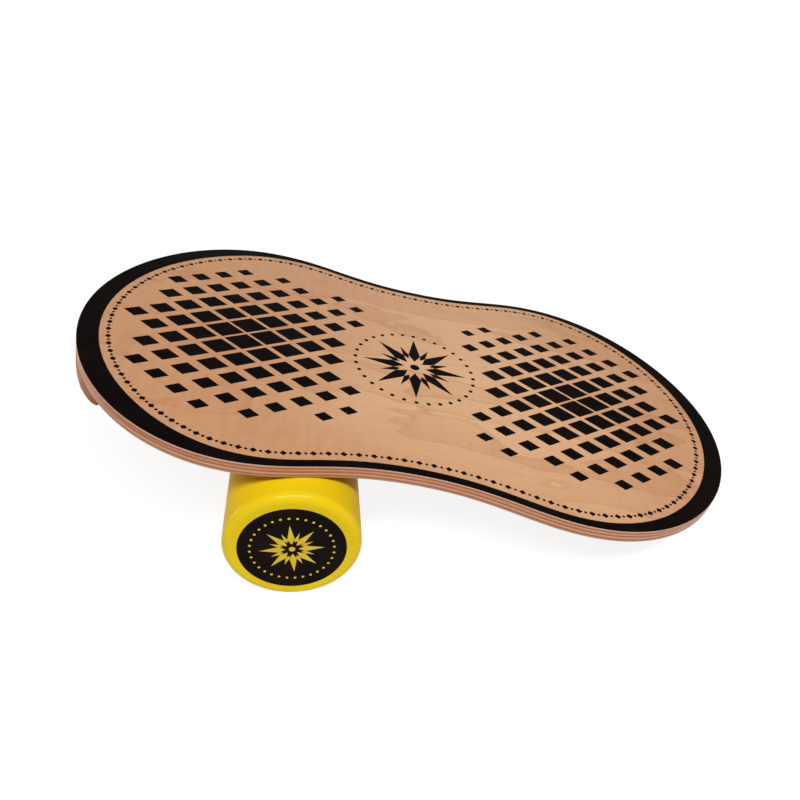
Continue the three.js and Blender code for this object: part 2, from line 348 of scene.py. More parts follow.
# Solid hardwood, sawn, sanded and oiled, its grain running across the deck
stopLook = {
    "shader": {"IOR": 1.5, "Specular IOR Level": 0.12},
    "pale": "#bf7e59",
    "brown": "#a76544",
    "line": "#834c31",
    "ringLayer": ((0.48, 0.62), (0, 0.4)),
    "fibreLayer": ((0.4, 0.75), (0, 0.35)),
    "patch": {"size": (50, 160, 40)},
    "fibre": {"size": (1.0, 24, 1.0), "detail": 3.0, "roughness": 0.6},
    "rings": {"size": (6, 180, 9), "distortion": 0.4},
    "roughness": (0.48, 0.62),
    "bump": (0.06, 0.6),
}


def makeStopWood(name, look):
    material, tree, at = startMaterial(name, deckPlace)
    patches, fibres, rings = [
        grain(tree, at, **look[pattern]) for pattern in ("patch", "fibre", "rings")]
    ground = layOver(tree, look["pale"], look["brown"], patches)
    ringed = layOver(tree, ground, look["line"], rings, *look["ringLayer"])
    fibred = layOver(tree, ringed, look["line"], fibres, *look["fibreLayer"])
    endMaterial(tree, look, fibred, fibres, fibres)
    return material


def makeTwoToned(name, place, look):
    # Two tones in soft patches. The sheen and the relief have patterns of their own, or follow
    # the one before
    material, tree, at = startMaterial(name, place)
    patches = grain(tree, at, **look["patch"])
    sheen = grain(tree, at, **look["sheen"]) if "sheen" in look else patches
    relief = grain(tree, at, **look["relief"]) if "relief" in look else sheen
    endMaterial(tree, look, layOver(tree, *look["tones"], patches), sheen, relief)
    return material


# Screen-printed black under the lacquer: dense, with the veneer's fibre showing through
inkLook = {
    "shader": {"IOR": 1.5, "Specular IOR Level": 0.004},
    "tones": ("#0b0706", "#120c0b"),
    "patch": {"size": (60, 40, 40), "detail": 3.0},
    "sheen": faceLook["fibre"],
    "roughness": (0.4, 0.52),
    "bump": (0.03, 0.5),
}

# Cold-headed steel, bright zinc plated: a little yellowish, with cloudy patches
steelLook = {
    "shader": {"Metallic": 1.0},
    "tones": ("#cfcab9", "#a9a698"),
    "patch": {"size": (3, 3, 3), "detail": 3.0},
    "roughness": (0.26, 0.42),
}

# Rotationally moulded polyethylene in solid yellow, with a faint orange peel: glossy on the rims
# and ends
yellowLook = {
    "shader": {"IOR": 1.51, "Specular IOR Level": 0.08},
    "tones": ("#e6cb12", "#ddbc12"),
    "patch": {"size": (120, 120, 120)},
    "sheen": {"size": (5, 40, 5), "detail": 3.0},
    "sheenSpan": (0.45, 0.75),
    "relief": {"size": (2.6, 2.6, 2.6), "detail": 1.0},
    "roughness": (0.12, 0.22),
    "bump": (0.05, 0.5),
}

# Rolling has rubbed the barrel dull
barrelLook = {
    **yellowLook,
    "shader": {"IOR": 1.51, "Specular IOR Level": 0.015},
    "roughness": (0.36, 0.52),
}

# Printed vinyl film under clear laminate: smooth satin, with a very fine texture
vinylLook = {
    "shader": {"IOR": 1.5, "Specular IOR Level": 0.012},
    "tones": ("#120c0b", "#1c1410"),
    "patch": {"size": (45, 45, 45)},
    "sheen": {"size": (0.9, 0.9, 0.9)},
    "roughness": (0.34, 0.42),
    "bump": (0.01, 0.4),
}

yellowPrintLook = {**vinylLook, "tones": ("#dcbf3e", "#d2b236")}

# Injection-moulded nylon, dark and slightly mottled
plugLook = {
    "shader": {"IOR": 1.5},
    "tones": ("#242426", "#2f2f31"),
    "patch": {"size": (6, 6, 6), "detail": 3.0},
    "roughness": (0.43, 0.55),
    "bump": (0.05, 0.4),
}

# Pressed rubber, duller and dusty
sealLook = {**plugLook, "tones": ("#2a2a2b", "#3a3937"), "roughness": (0.78, 0.9)}

birchFace = makeBirchFace("lacqueredBirchVeneer", faceLook)
birchBack = makeBirchFace("lacqueredBirchBack", backLook)
blackInk = makeTwoToned("screenPrintedInk", deckPlace, inkLook)
plyEdge = makePlyEdge("sandedPlywoodEdge", edgeLook)
stopWood = makeStopWood("oiledHardwood", stopLook)
screwSteel = makeTwoToned("zincPlatedSteel", deckPlace, steelLook)
glossyYellow = makeTwoToned("mouldedPolyethylene", rearPlace, yellowLook)
rubbedYellow = makeTwoToned("rubbedPolyethylene", rearPlace, barrelLook)
blackVinyl = makeTwoToned("printedVinylBlack", rearPlace, vinylLook)
yellowVinyl = makeTwoToned("printedVinylYellow", rearPlace, yellowPrintLook)
plugPlastic = makeTwoToned("mouldedNylon", rearPlace, plugLook)
sealRubber = makeTwoToned("pressedRubber", rearPlace, sealLook)
print("materials made")


# Outlines, in millimetres

def deckOutline():
    end = deck["length"] / 2
    lobe = deck["width"] / 2
    waist = deck["waist"] / 2
    lobeX = end * deck["lobePlace"]
    quarterCurves = [
        [(0, -waist), (lobeX * deck["waistHandle"], -waist),
         (lobeX * (1 - deck["lobeInnerHandle"]), -lobe), (lobeX, -lobe)],
        [(lobeX, -lobe), (lobeX + (end - lobeX) * deck["lobeOuterHandle"], -lobe),
         (end, -lobe * deck["endHandle"]), (end, 0)],
    ]
    half = []
    for corners in quarterCurves:
        handles = [Vector(corner) for corner in corners]
        half += interpolate_bezier(*handles, deck["outlineSteps"] + 1)[:-1]
    half += [Vector((end, 0))] + [Vector((point.x, -point.y)) for point in reversed(half)]
    half.pop()
    return half + [-point for point in half]


def insetLoop(loop, depth):
    # Moves a loop inwards by a depth, which may be a function of the point
    moved = []
    for i, point in enumerate(loop):
        run = loop[(i + 1) % len(loop)] - loop[i - 1]
        distance = depth(point) if callable(depth) else depth
        moved.append(point + distance * Vector((-run.y, run.x)).normalized())
    return moved


def circleLoop(radius, sides, centre=(0, 0)):
    turns = [2 * math.pi * i / sides for i in range(sides)]
    return [Vector(centre) + radius * Vector((math.cos(turn), math.sin(turn))) for turn in turns]


def roundedRim(radius, steps):
    # Insets and rises of a quarter round that ends a wall
    turns = [math.pi / 2 * i / steps for i in range(steps + 1)]
    return [(radius * (1 - math.cos(turn)), radius * math.sin(turn)) for turn in turns]


outline = deckOutline()


# Meshes

def addObject(name, data):
    thing = bpy.data.objects.new(name, data)
    bpy.context.scene.collection.objects.link(thing)
    return thing


def addMeshObject(name, points, edges=(), faces=()):
    data = bpy.data.meshes.new(name)
    data.from_pydata(points, edges, faces)
    return addObject(name, data)


def addSolid(name, mesh):
    bmesh.ops.recalc_face_normals(mesh, faces=mesh.faces)
    data = bpy.data.meshes.new(name)
    mesh.to_mesh(data)
    mesh.free()
    return addObject(name, data)


def addRing(mesh, loop, height):
    return [mesh.verts.new((point.x * mm, point.y * mm, height * mm)) for point in loop]


def joinRings(mesh, rings, slot):
    for lower, upper in zip(rings, rings[1:]):
        for i in range(len(lower)):
            face = mesh.faces.new((lower[i - 1], lower[i], upper[i], upper[i - 1]))
            face.material_index = slot


def fillRings(mesh, rings, slot):
    # A flat face with the first ring as its border and the others as holes
    edges = [mesh.edges.get((ring[i - 1], ring[i])) for ring in rings for i in range(len(ring))]
    filled = bmesh.ops.triangle_fill(mesh, edges=edges, use_beauty=True)
    for face in filled["geom"]:
        if isinstance(face, bmesh.types.BMFace):
            face.material_index = slot


def makePlate(loop, profile, holes=(), wallSlot=0, openTop=False):
    # The profile and each hole's steps run from the bottom up. The flat faces take slot 0
    mesh = bmesh.new()
    walls = [addRing(mesh, insetLoop(loop, inset), height) for inset, height in profile]
    joinRings(mesh, walls, wallSlot)
    bottoms = [walls[0]]
    tops = [walls[-1]]
    for centre, steps in holes:
        rings = [addRing(mesh, circleLoop(radius, screws["sides"], centre), height)
                 for radius, height in steps]
        joinRings(mesh, rings, wallSlot)
        bottoms.append(rings[0])
        tops.append(rings[-1])
    fillRings(mesh, bottoms, 0)
    if not openTop:
        fillRings(mesh, tops, 0)
    return mesh


def turnProfile(profile, sides):
    # A closed solid of revolution; a step on the axis is a single point
    mesh = bmesh.new()
    rings = []
    for radius, height in profile:
        if radius == 0:
            rings.append([mesh.verts.new((0, 0, height * mm))])
        else:
            rings.append(addRing(mesh, circleLoop(radius, sides), height))
    for lower, upper in zip(rings, rings[1:]):
        for i in range(sides):
            corners = [lower[(i - 1) % len(lower)], lower[i % len(lower)],
                       upper[i % len(upper)], upper[(i - 1) % len(upper)]]
            mesh.faces.new(list(dict.fromkeys(corners)))
    return mesh


def finishPiece(name, mesh, materials, place, body, nodes):
    mesh.transform(place)
    piece = addSolid(name, mesh)
    for material in materials:
        piece.data.materials.append(material)
    piece.data.shade_smooth()
    piece.data.set_sharp_from_angle(angle=math.radians(sharpAngle))
    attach(piece, body)
    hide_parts(*nodes)


# Geometry Nodes

def startTree(name, sizes):
    tree = bpy.data.node_groups.new(name, "GeometryNodeTree")
    tree.interface.new_socket("Geometry", in_out="INPUT", socket_type="NodeSocketGeometry")
    tree.interface.new_socket("Geometry", in_out="OUTPUT", socket_type="NodeSocketGeometry")
    for label, value in sizes.items():
        kind = "NodeSocketInt" if isinstance(value, int) else "NodeSocketFloat"
        tree.interface.new_socket(label, in_out="INPUT", socket_type=kind)
    return tree, addNode(tree, "NodeGroupInput").outputs


def runTree(tree, holder, sizes):
    # Lengths go in as metres; counts and shares go in as they are. The holder isn't kept
    modifier = holder.modifiers.new(tree.name, "NODES")
    modifier.node_group = tree
    sockets = {item.name: item.identifier for item in tree.interface.items_tree
               if item.in_out == "INPUT"}
    for label, value in sizes.items():
        isLength = isinstance(value, float) and "Share" not in label
        modifier[sockets[label]] = value * mm if isLength else value
    evaluated = holder.evaluated_get(bpy.context.evaluated_depsgraph_get())
    result = bpy.data.meshes.new_from_object(evaluated)
    bpy.data.objects.remove(holder)
    return result


def holdLoop(name, loop):
    # A bare closed line of edges for a tree to work on
    points = [(point.x * mm, point.y * mm, 0) for point in loop]
    return addMeshObject(name, points, [(i, (i + 1) % len(loop)) for i in range(len(loop))])


diamondField = {
    "Field Length": 720.0,
    "Field Width": 420.0,
    "Columns": 15,
    "Rows": 12,
    "Clear Of Band": 30.0,
    "Clear Of Middle": 98.0,
    "Foot Place": 206.0,  # from the deck's middle, where the diamonds are largest
    "Fade Radius": 180.0,
    "Fade Stretch Share": 0.92,  # of the fade's reach along the deck, for its reach across
    "Smallest Share": 0.42,  # of the lattice
    "Largest Share": 0.97,
}


def addDiamonds(tree, sizes, border):
    # Two interleaved grids carry diamonds, largest under each foot and smaller all round it
    pitches = []
    for span, count in (("Field Length", "Columns"), ("Field Width", "Rows")):
        gaps = addNode(tree, "ShaderNodeMath", [sizes[count], 1.0], operation="SUBTRACT")
        pitches.append(addNode(tree, "ShaderNodeMath", [sizes[span], gaps], operation="DIVIDE"))
    grids = []
    for isBetween in (0.0, 1.0):
        sides = {}
        for axis, span, count, pitch in (
            ("X", "Field Length", "Columns", pitches[0]),
            ("Y", "Field Width", "Rows", pitches[1]),
        ):
            sides["Size " + axis] = addNode(tree, "ShaderNodeMath", [
                pitch, -isBetween, sizes[span]], operation="MULTIPLY_ADD")
            sides["Vertices " + axis] = addNode(tree, "ShaderNodeMath", [
                sizes[count], isBetween], operation="SUBTRACT")
        grids.insert(0, addNode(tree, "GeometryNodeMeshGrid", sides))
    lattice = addNode(tree, "GeometryNodeJoinGeometry", [grids])

    # A ray down from a metre above a point tells whether the point is within the border
    position = addNode(tree, "GeometryNodeInputPosition")
    borderCurve = addNode(tree, "GeometryNodeMeshToCurve", {"Mesh": border})
    above = addNode(tree, "ShaderNodeVectorMath", [position, (0, 0, 1)], operation="ADD")
    isInside = addNode(tree, "GeometryNodeRaycast", {
        "Target Geometry": addNode(tree, "GeometryNodeFillCurve", {"Curve": borderCurve}),
        "Source Position": above,
        "Ray Direction": (0, 0, -1),
        "Ray Length": 2.0,
    })
    toBand = addNode(tree, "GeometryNodeProximity", [border], target_element="EDGES")
    parts = addNode(tree, "ShaderNodeSeparateXYZ", [position]).outputs
    alongDeck = addNode(tree, "ShaderNodeMath", [parts["X"]], operation="ABSOLUTE")
    fromFoot = addNode(tree, "ShaderNodeMath", [alongDeck, sizes["Foot Place"]],
                       operation="SUBTRACT")
    acrossDeck = addNode(tree, "ShaderNodeMath", [parts["Y"], sizes["Fade Stretch Share"]],
                         operation="DIVIDE")
    toFoot = addNode(tree, "ShaderNodeCombineXYZ", [fromFoot, acrossDeck])
    away = addNode(tree, "ShaderNodeVectorMath", [toFoot], operation="LENGTH")
    fromMiddle = addNode(tree, "ShaderNodeVectorMath", [position], operation="LENGTH")
    kept = isInside
    for distance, test, limit in (
        (toBand.outputs["Distance"], "GREATER_THAN", "Clear Of Band"),
        (away, "LESS_THAN", "Fade Radius"),
        (fromMiddle, "GREATER_THAN", "Clear Of Middle"),
    ):
        passes = addNode(tree, "FunctionNodeCompare", {"A": distance, "B": sizes[limit]},
                         operation=test)
        kept = addNode(tree, "FunctionNodeBooleanMath", [kept, passes], operation="AND")
    share = addNode(tree, "ShaderNodeMapRange", [
        away, 0.0, sizes["Fade Radius"], sizes["Largest Share"], sizes["Smallest Share"]])
    pitch = addNode(tree, "ShaderNodeCombineXYZ", [*pitches, 1.0])
    diamond = addNode(tree, "GeometryNodeCurvePrimitiveQuadrilateral", {
        "Width": 1.0,
        "Bottom Height": 0.5,
        "Top Height": 0.5,
    }, mode="KITE")
    scale = addNode(tree, "ShaderNodeVectorMath", {0: pitch, "Scale": share}, operation="SCALE")
    return addNode(tree, "GeometryNodeInstanceOnPoints", {
        "Points": lattice,
        "Selection": kept,
        "Instance": diamond,
        "Scale": scale,
    })


edgeRow = {
    "Row Marks": 260,
    "Row Inset": 9.5,  # from the band's inner edge
    "Lozenge Length": 8.0,
    "Lozenge Width": 7.0,
    "Dot Radius": 1.7,
    "Dot Sides": 12,
}


def addRow(tree, sizes, border):
    # Lozenges and dots by turns, a fixed way inside the border
    marks = addNode(tree, "GeometryNodeCurveToPoints", {
        "Curve": addNode(tree, "GeometryNodeMeshToCurve", {"Mesh": border}),
        "Count": sizes["Row Marks"],
    }, mode="COUNT")
    tangent = marks.outputs["Tangent"]
    sideways = addNode(tree, "ShaderNodeVectorMath", [tangent, (0, 0, 1)],
                       operation="CROSS_PRODUCT")
    position = addNode(tree, "GeometryNodeInputPosition")
    outwards = addNode(tree, "ShaderNodeVectorMath", [sideways, position], operation="DOT_PRODUCT")
    side = addNode(tree, "ShaderNodeMath", [outwards], operation="SIGN")
    inset = addNode(tree, "ShaderNodeMath", [side, sizes["Row Inset"]], operation="MULTIPLY")
    inwards = addNode(tree, "ShaderNodeMath", [inset, -1.0], operation="MULTIPLY")
    shift = addNode(tree, "ShaderNodeVectorMath", {0: sideways, "Scale": inwards},
                    operation="SCALE")
    row = addNode(tree, "GeometryNodeSetPosition", {"Geometry": marks, "Offset": shift})
    turn = addNode(tree, "FunctionNodeAlignRotationToVector", {"Vector": tangent},
                   axis="X", pivot_axis="Z")
    index = addNode(tree, "GeometryNodeInputIndex")
    isOdd = addNode(tree, "ShaderNodeMath", [index, 2.0], operation="MODULO")
    isEven = addNode(tree, "ShaderNodeMath", [1.0, isOdd], operation="SUBTRACT")
    halfWidth = addNode(tree, "ShaderNodeMath", [sizes["Lozenge Width"], 0.5], operation="MULTIPLY")
    lozenge = addNode(tree, "GeometryNodeCurvePrimitiveQuadrilateral", {
        "Width": sizes["Lozenge Length"],
        "Bottom Height": halfWidth,
        "Top Height": halfWidth,
    }, mode="KITE")
    dot = addNode(tree, "GeometryNodeCurvePrimitiveCircle", {
        "Resolution": sizes["Dot Sides"],
        "Radius": sizes["Dot Radius"],
    })
    return [addNode(tree, "GeometryNodeInstanceOnPoints", {
        "Points": row,
        "Selection": chosen,
        "Instance": motif,
        "Rotation": turn,
    }) for chosen, motif in ((isEven, lozenge), (isOdd, dot))]


deckStar = {
    "Star Points": 16,
    "Star Radius": 27.0,
    "Point Width": 15.0,
    "Point Inner": 14.0,
    "Point Outer": 38.0,
    "Short Share": 0.52,
    "Ring Dots": 32,
    "Ring Radius": 74.0,
    "Ring Dot Radius": 2.6,
    "Ring Dot Sides": 16,
    "Hub Radius": 6.0,
    "Hub Sides": 32,
}

labelStar = {
    **deckStar,
    "Star Radius": 13.5,
    "Point Width": 7.6,
    "Point Inner": 7.0,
    "Point Outer": 19.0,
    "Ring Radius": 42.0,
    "Ring Dot Radius": 1.4,
    "Hub Radius": 3.2,
}


def addStar(tree, sizes):
    # Kites round a hub, long and short by turns, inside a ring of dots
    spokes = addNode(tree, "GeometryNodeMeshCircle", {
        "Vertices": sizes["Star Points"],
        "Radius": sizes["Star Radius"],
    })
    position = addNode(tree, "GeometryNodeInputPosition")
    turn = addNode(tree, "FunctionNodeAlignRotationToVector", {"Vector": position},
                   axis="Y", pivot_axis="Z")
    index = addNode(tree, "GeometryNodeInputIndex")
    isOdd = addNode(tree, "ShaderNodeMath", [index, 2.0], operation="MODULO")
    point = addNode(tree, "GeometryNodeCurvePrimitiveQuadrilateral", {
        "Width": sizes["Point Width"],
        "Bottom Height": sizes["Point Inner"],
        "Top Height": sizes["Point Outer"],
    }, mode="KITE")
    points = addNode(tree, "GeometryNodeInstanceOnPoints", {
        "Points": spokes,
        "Instance": point,
        "Rotation": turn,
        "Scale": addNode(tree, "ShaderNodeMapRange", [isOdd, 0.0, 1.0, 1.0, sizes["Short Share"]]),
    })
    ring = addNode(tree, "GeometryNodeMeshCircle", {
        "Vertices": sizes["Ring Dots"],
        "Radius": sizes["Ring Radius"],
    })
    ringDot, hub = [addNode(tree, "GeometryNodeCurvePrimitiveCircle", {
        "Resolution": sizes[part + " Sides"],
        "Radius": sizes[part + " Radius"],
    }) for part in ("Ring Dot", "Hub")]
    dots = addNode(tree, "GeometryNodeInstanceOnPoints", {"Points": ring, "Instance": ringDot})
    return [points, dots, hub]


def endPrintTree(tree, border, motifs, ground, ink):
    # The ground is filled round the motifs and the motifs are filled too, so that together
    # they make one flat face with nothing overlapping
    joined = addNode(tree, "GeometryNodeJoinGeometry", [motifs])
    realised = addNode(tree, "GeometryNodeRealizeInstances", [joined])
    borderCurve = addNode(tree, "GeometryNodeMeshToCurve", {"Mesh": border})
    everyCurve = addNode(tree, "GeometryNodeJoinGeometry", [[borderCurve, realised]])
    groundFace = addNode(tree, "GeometryNodeFillCurve", {"Curve": everyCurve})
    inkFace = addNode(tree, "GeometryNodeFillCurve", {"Curve": realised})
    marked = addNode(tree, "GeometryNodeStoreNamedAttribute", {
        "Geometry": inkFace,
        "Name": "inked",
        "Value": True,
    }, data_type="BOOLEAN", domain="FACE")
    whole = addNode(tree, "GeometryNodeJoinGeometry", [[groundFace, marked]])
    merged = addNode(tree, "GeometryNodeMergeByDistance", {
        "Geometry": whole,
        "Distance": weldGap * mm,
    })
    plain = addNode(tree, "GeometryNodeRealizeInstances", [merged])
    grounded = addNode(tree, "GeometryNodeSetMaterial", {"Geometry": plain, "Material": ground})
    isInked = addNode(tree, "GeometryNodeInputNamedAttribute", {"Name": "inked"},
                      data_type="BOOLEAN")
    inked = addNode(tree, "GeometryNodeSetMaterial", {
        "Geometry": grounded,
        "Selection": isInked,
        "Material": ink,
    })
    addNode(tree, "NodeGroupOutput", [inked])


def addPrintedFace(mesh, printed, height, materials):
    # Lays the printed face on an open plate and welds it to the plate's rim
    slots = [materials.index(material) if material else 0 for material in printed.materials]
    printed.transform(Matrix.Translation((0, 0, height * mm)))
    before = len(mesh.faces)
    mesh.from_mesh(printed)
    mesh.faces.ensure_lookup_table()
    for face in mesh.faces[before:]:
        face.material_index = slots[face.material_index]
    bmesh.ops.remove_doubles(mesh, verts=mesh.verts, dist=weldGap * mm)
    bpy.data.meshes.remove(printed)


# Shapes and places of the stop blocks and the screws, which the plies' holes need too

stops = {
    "length": 60,  # from the deck's end inwards
    "depth": 18,
    "corner": 24,  # rounding along the chord
    "cornerRun": 44,  # and along the rim, both as in the CAD block
    "cornerSteps": 8,
    "softEdge": 2.6,
    "softEdgeSteps": 5,
}

screws = {
    "length": 28,
    "shankRadius": 2,
    "headRadius": 4.2,
    "headEdge": 0.4,
    "headHeight": 2.6,
    "pointLength": 5,
    "pointRadius": 0.4,
    "inset": 0.5,
    "clearance": 0.3,
    "sides": 32,
    "places": [(0.3, -0.68), (0.56, -0.26), (0.56, 0.26), (0.3, 0.68)],  # of length and half chord
}

screwDrive = {
    "Drive Span": 4.6,
    "Drive Width": 1.1,
    "Drive Depth": 1.8,
}

footDepth = stops["depth"] + deck["glueLine"]
screwBottom = screws["inset"] - footDepth
screwTip = screwBottom + screws["length"]
stopChord = deck["length"] / 2 - stops["length"]


def stopOutline():
    # The deck's own outline beyond a straight chord, with the two sharp corners rounded
    beyond = [point for point in outline if point.x > stopChord]
    beyond.sort(key=lambda point: point.y)
    inside = [point for point in outline if 0 < point.x <= stopChord and point.y < 0]
    last = max(inside, key=lambda point: point.x)
    share = (stopChord - last.x) / (beyond[0].x - last.x)
    corner = last.lerp(beyond[0], share)
    corners = (corner, Vector((corner.x, -corner.y)))
    rim = [point for point in beyond
           if min((point - other).length for other in corners) > stops["cornerRun"]]
    chordEnd = corner + Vector((0, stops["corner"]))
    nearRound = []
    for i in range(stops["cornerSteps"] + 1):
        t = i / stops["cornerSteps"]
        nearRound.append(chordEnd.lerp(corner, t).lerp(corner.lerp(rim[0], t), t))
    farRound = [Vector((point.x, -point.y)) for point in reversed(nearRound)]
    return nearRound + rim[1:-1] + farRound, -chordEnd.y


stopLoop, halfChord = stopOutline()
screwPlaces = [(stopChord + stops["length"] * along, halfChord * across)
               for along, across in screws["places"]]


# Deck plies

edgeBand = {
    "waistWidth": 9.5,  # printed band, at the middle of the long sides
    "tipExtra": 13.5,  # how much wider it grows towards the tips
    "swellLeft": (0.3, 0.85),  # shares of the half length between which it grows
    "swellRight": (0.38, 1.12),
}

plyThickness = (deck["thickness"] - (deck["plies"] - 1) * deck["glueLine"]) / deck["plies"]


def bandWidth(point):
    # Grows smoothly from the waist to the tips
    start, end = edgeBand["swellRight" if point.x > 0 else "swellLeft"]
    grown = (abs(point.x) / (deck["length"] / 2) - start) / (end - start)
    grown = min(max(grown, 0), 1)
    return edgeBand["waistWidth"] + edgeBand["tipExtra"] * grown * grown * (3 - 2 * grown)


def markEndGrain(mesh, grainDirection, tone):
    # How far each wall is turned towards the ply's own grain, for the edge material
    layer = mesh.verts.layers.float.new("endGrain")
    for vertex in mesh.verts:
        walls = [face.normal for face in vertex.link_faces
                 if abs(face.normal.z) < deck["wallSlope"]]
        facing = sum((normal.to_2d() for normal in walls), Vector((0, 0)))
        if facing.length > 0:
            vertex[layer] = facing.normalized().dot(grainDirection) ** 2 + tone


def makePlies():
    lengthwise, crosswise = Vector((1, 0)), Vector((0, 1))
    plain = [(0, 0), (0, plyThickness)]
    rim = roundedRim(deck["edgeRound"], deck["edgeRoundSteps"])
    flatInset = deck["edgeRound"] + deck["flatRim"]
    straight = plyThickness - deck["edgeRound"]
    upward = [(0, 0)] + [(inset, straight + rise) for inset, rise in rim]
    upward.append((flatInset, plyThickness))
    downward = [(inset, plyThickness - rise) for inset, rise in reversed(upward)]
    radius = screws["shankRadius"] + screws["clearance"]
    for number in range(1, deck["plies"] + 1):
        low = deck["thickness"] - plyThickness - (number - 1) * (plyThickness + deck["glueLine"])
        isTop = number == 1
        isBottom = number == deck["plies"]
        profile = upward if isTop else downward if isBottom else plain
        holes = []
        if low < screwTip:
            holes = [((side * x, side * y), [(radius, low), (radius, low + plyThickness)])
                     for side in (1, -1) for x, y in screwPlaces]
        lifted = [(inset, low + height) for inset, height in profile]
        mesh = makePlate(outline, lifted, holes, wallSlot=1, openTop=isTop)
        mesh.normal_update()
        lay, direction = ("long", lengthwise) if number % 2 else ("cross", crosswise)
        markEndGrain(mesh, direction, edgeLook["plyTones"][number - 1])
        materials = [birchFace, plyEdge]
        name = f"ply{number}"
        node = f"deck_ply_{number}"
        if isTop:
            name = "topFaceVeneer"
            node = "deck_face_veneer_top"
            materials.append(blackInk)
            for face in mesh.faces:
                if face.normal.z > deck["inkedSlope"]:
                    face.material_index = materials.index(blackInk)
            printTopFace(mesh, flatInset, materials)
        if isBottom:
            name = "bottomFaceVeneer"
            node = "deck_face_veneer_bottom"
            materials[0] = birchBack
        finishPiece(name, mesh, materials, deckPlace, "deck", [node])


def printTopFace(mesh, flatInset, materials):
    # The band is a strip of faces up to the border; the motifs inside it come from a tree
    rim = insetLoop(outline, flatInset)
    border = insetLoop(outline, bandWidth)
    rings = [addRing(mesh, loop, deck["thickness"]) for loop in (rim, border)]
    joinRings(mesh, rings, materials.index(blackInk))
    sizes = {**diamondField, **edgeRow, **deckStar}
    tree, inputs = startTree("deckPrint", sizes)
    line = inputs["Geometry"]
    motifs = [addDiamonds(tree, inputs, line), *addRow(tree, inputs, line), *addStar(tree, inputs)]
    endPrintTree(tree, line, motifs, birchFace, blackInk)
    printed = runTree(tree, holdLoop("deckBorder", border), sizes)
    print("deck print:", len(printed.polygons), "faces")
    addPrintedFace(mesh, printed, deck["thickness"], materials)


makePlies()
print("deck plies made")


# Stop blocks and their screws

def screwSteps(clearance):
    # Radii and heights up the screw, from its head
    return [
        (screws["headRadius"] + clearance, 0),
        (screws["headRadius"] + clearance, screws["headEdge"]),
        (screws["shankRadius"] + clearance, screws["headHeight"]),
        (screws["shankRadius"] + clearance, screws["length"] - screws["pointLength"]),
        (screws["pointRadius"], screws["length"]),
    ]


def makeStops():
    # The bores follow the screws' heads and tapers, then run straight up to the deck
    rim = roundedRim(stops["softEdge"], stops["softEdgeSteps"])
    flat = (stops["softEdge"] + deck["flatRim"], -footDepth)
    soft = [(inset, stops["softEdge"] - footDepth - rise) for inset, rise in reversed(rim)]
    profile = [flat] + soft + [(0, -deck["glueLine"])]
    bored = [(radius, max(screwBottom + height, -footDepth))
             for radius, height in screwSteps(screws["clearance"])[:3]]
    bored[0] = (bored[0][0], -footDepth)
    bored.append((bored[-1][0], -deck["glueLine"]))
    for side, name in ((1, "right"), (-1, "left")):
        loop = [side * point for point in stopLoop]
        mesh = makePlate(loop, profile, [((side * x, side * y), bored) for x, y in screwPlaces])
        finishPiece(name + "Stop", mesh, [stopWood], deckPlace,
                    "deck", ["stop_block_" + name])


def makeScrewTree(screwBody):
    # Cuts the cross recess into the turned screw and sets one screw on every point
    tree, inputs = startTree("stopScrews", screwDrive)
    body = addNode(tree, "GeometryNodeObjectInfo", {"Object": screwBody}).outputs["Geometry"]
    bothWays = addNode(tree, "ShaderNodeMath", [inputs["Drive Depth"], 2.0], operation="MULTIPLY")
    bars = []
    for spanX, spanY in (("Drive Span", "Drive Width"), ("Drive Width", "Drive Span")):
        size = addNode(tree, "ShaderNodeCombineXYZ", [inputs[spanX], inputs[spanY], bothWays])
        bars.append(addNode(tree, "GeometryNodeMeshCube", {"Size": size}))
    recessed = addNode(tree, "GeometryNodeMeshBoolean", {"Mesh 1": body, "Mesh 2": bars},
                       operation="DIFFERENCE", solver="EXACT")
    placed = addNode(tree, "GeometryNodeInstanceOnPoints", {
        "Points": inputs["Geometry"],
        "Instance": recessed,
    })
    realised = addNode(tree, "GeometryNodeRealizeInstances", [placed])
    finished = addNode(tree, "GeometryNodeSetMaterial", {
        "Geometry": realised,
        "Material": screwSteel,
    })
    addNode(tree, "NodeGroupOutput", [finished])
    return tree


def makeScrews():
    turned = turnProfile([(0, 0)] + screwSteps(0) + [(0, screws["length"])], screws["sides"])
    screwBody = addSolid("screwBody", turned)
    points = addMeshObject("screwPoints", [(side * x * mm, side * y * mm, screwBottom * mm)
                                           for side in (1, -1) for x, y in screwPlaces])
    mesh = bmesh.new()
    mesh.from_mesh(runTree(makeScrewTree(screwBody), points, screwDrive))
    bpy.data.objects.remove(screwBody)
    nodes = [f"stop_screw_{side}_{number}" for side in ("right", "left")
             for number in range(1, len(screwPlaces) + 1)]
    finishPiece("stopScrews", mesh, [screwSteel], deckPlace, "deck", nodes)


makeStops()
makeScrews()
print("stops and screws made")


# Roller

roller = {
    "radius": 70,
    "length": 470,
    "rim": 9,
    "wall": 5,
    "rimSteps": 12,
    "flat": 1.0,  # strips beside each rounding, which keep its shading to itself
    "sides": 160,
    "bore": 12,
    "boss": 25,
    "bossHeight": 7,
    "pocket": 18.3,
    "pocketDepth": 3.7,
    "rubbed": 69.99,  # what lies further out than this is the barrel
    "labelRadius": 54.5,
    "labelThickness": 0.4,
    "labelEdge": 0.15,
}


def rimArc(centreRadius, centreHeight, radius, startTurn):
    steps = roller["rimSteps"]
    turns = [startTurn + math.pi / 2 * i / steps for i in range(steps + 1)]
    return [(centreRadius + radius * math.cos(turn), centreHeight + radius * math.sin(turn))
            for turn in turns]


